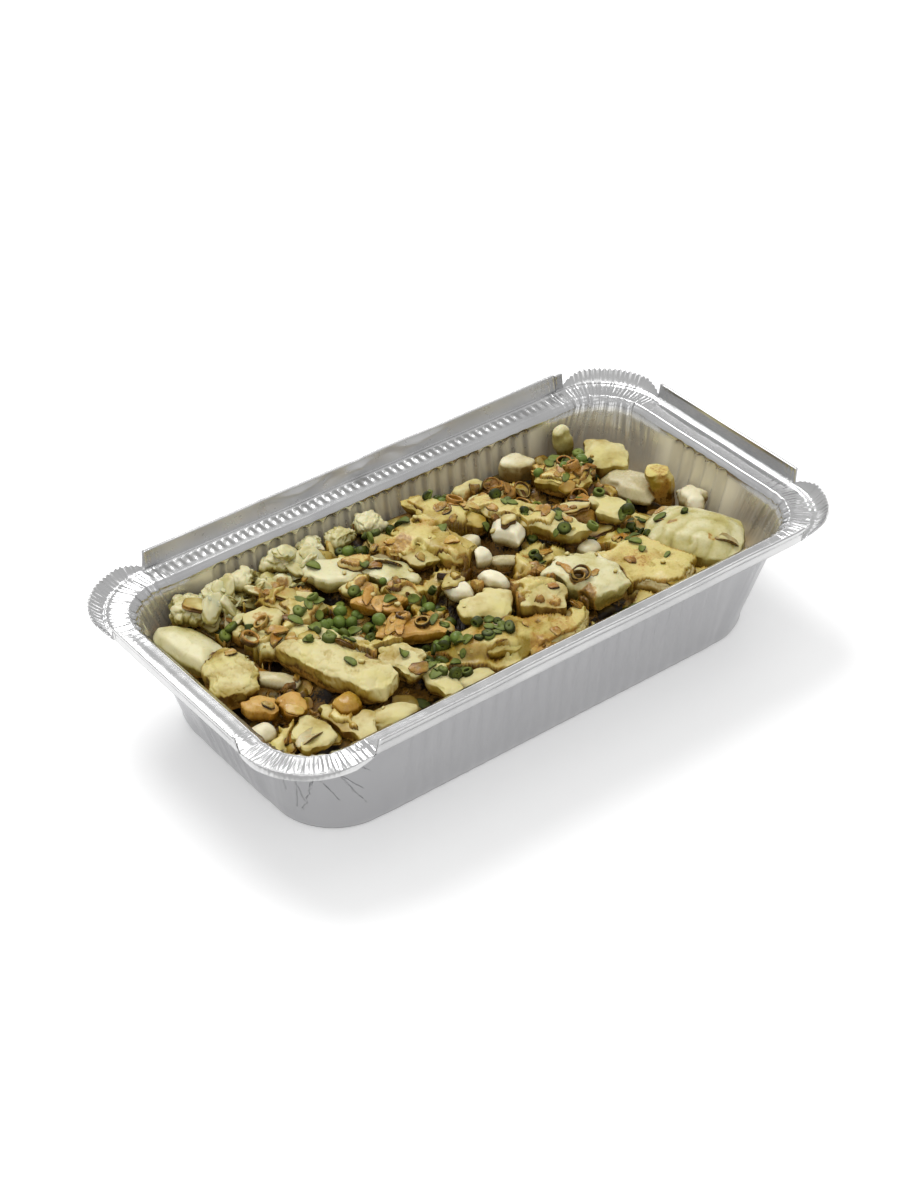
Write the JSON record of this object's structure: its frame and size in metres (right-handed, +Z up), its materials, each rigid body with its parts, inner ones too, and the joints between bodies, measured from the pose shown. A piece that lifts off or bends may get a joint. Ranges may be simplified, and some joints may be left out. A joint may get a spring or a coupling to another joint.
{
  "type": "foil tray meal",
  "caption": "Pressed foil takeaway tray with fluted walls and upright closing flaps, filled with a heap of creamy baked bites, herbs and browned pieces",
  "frame": {"origin": "bottom centre of the tray, on the surface it stands on", "axes": "+X along the tray's length, towards the end where the heap is lowest; +Y across it, towards the long wall with the row of dumplings; +Z up"},
  "size_m": [0.2156, 0.1168, 0.0446],
  "materials": {
    "foil": "bright rolled foil, satin, with fine creases",
    "brown_sauce": "moist dark brown filling with green herb slices",
    "cream": "moist cream-coloured baked bites, browned at the edges",
    "white_bite": "smooth off-white",
    "pale_melt": "soft pale yellow, slightly glossy",
    "grey_petal": "translucent grey-tan, soft sheen",
    "baked_gold": "baked golden tan",
    "orange_strip": "moist orange"
  },
  "bodies": {
    "root": {"foil_tray": "foil", "food_heap": "brown_sauce", "cheese_strip_back": "pale_melt", "dumpling_back_1": "cream", "dumpling_back_2": "cream", "dumpling_back_3": "cream", "dumpling_back_4": "cream", "dumpling_back_5": "cream", "dumpling_back_6": "cream", "dumpling_back_7": "cream", "petal_left": "grey_petal", "chunk_left": "cream", "chunk_herb_left": "cream", "egg_left": "cream", "crescent_left": "cream", "chunk_back_left": "cream", "wedge_left": "cream", "ball_amber": "baked_gold", "flake_front_left": "cream", "flake_corner": "cream", "petal_orange_1": "orange_strip", "petal_orange_2": "orange_strip", "strip_pale_left": "grey_petal", "leaf_pale_1": "cream", "leaf_pale_2": "cream", "leaf_browned": "cream", "slab_creamy": "pale_melt", "chunk_amber": "cream", "carrot_upper": "orange_strip", "carrot_lower": "orange_strip", "star_herb": "cream", "curl_small": "grey_petal", "crust_front_left": "cream", "bean_1": "white_bite", "bean_2": "white_bite", "bean_3": "white_bite", "frayed_cream": "cream", "slab_front": "pale_melt", "roll_cream": "cream", "sheet_front": "baked_gold", "white_browned": "cream", "ridge_herb": "pale_melt", "ridge_long": "cream", "flower_white": "white_bite", "cube_back_right": "white_bite", "oval_upright": "white_bite", "leaf_right": "pale_melt", "dome_right": "cream", "slope_right": "grey_petal", "stick_yellow": "pale_melt", "crumble_right": "white_bite", "cream_lumps": "cream", "dumpling_large": "cream", "sheet_right": "baked_gold"}
  },
  "joints": []
}
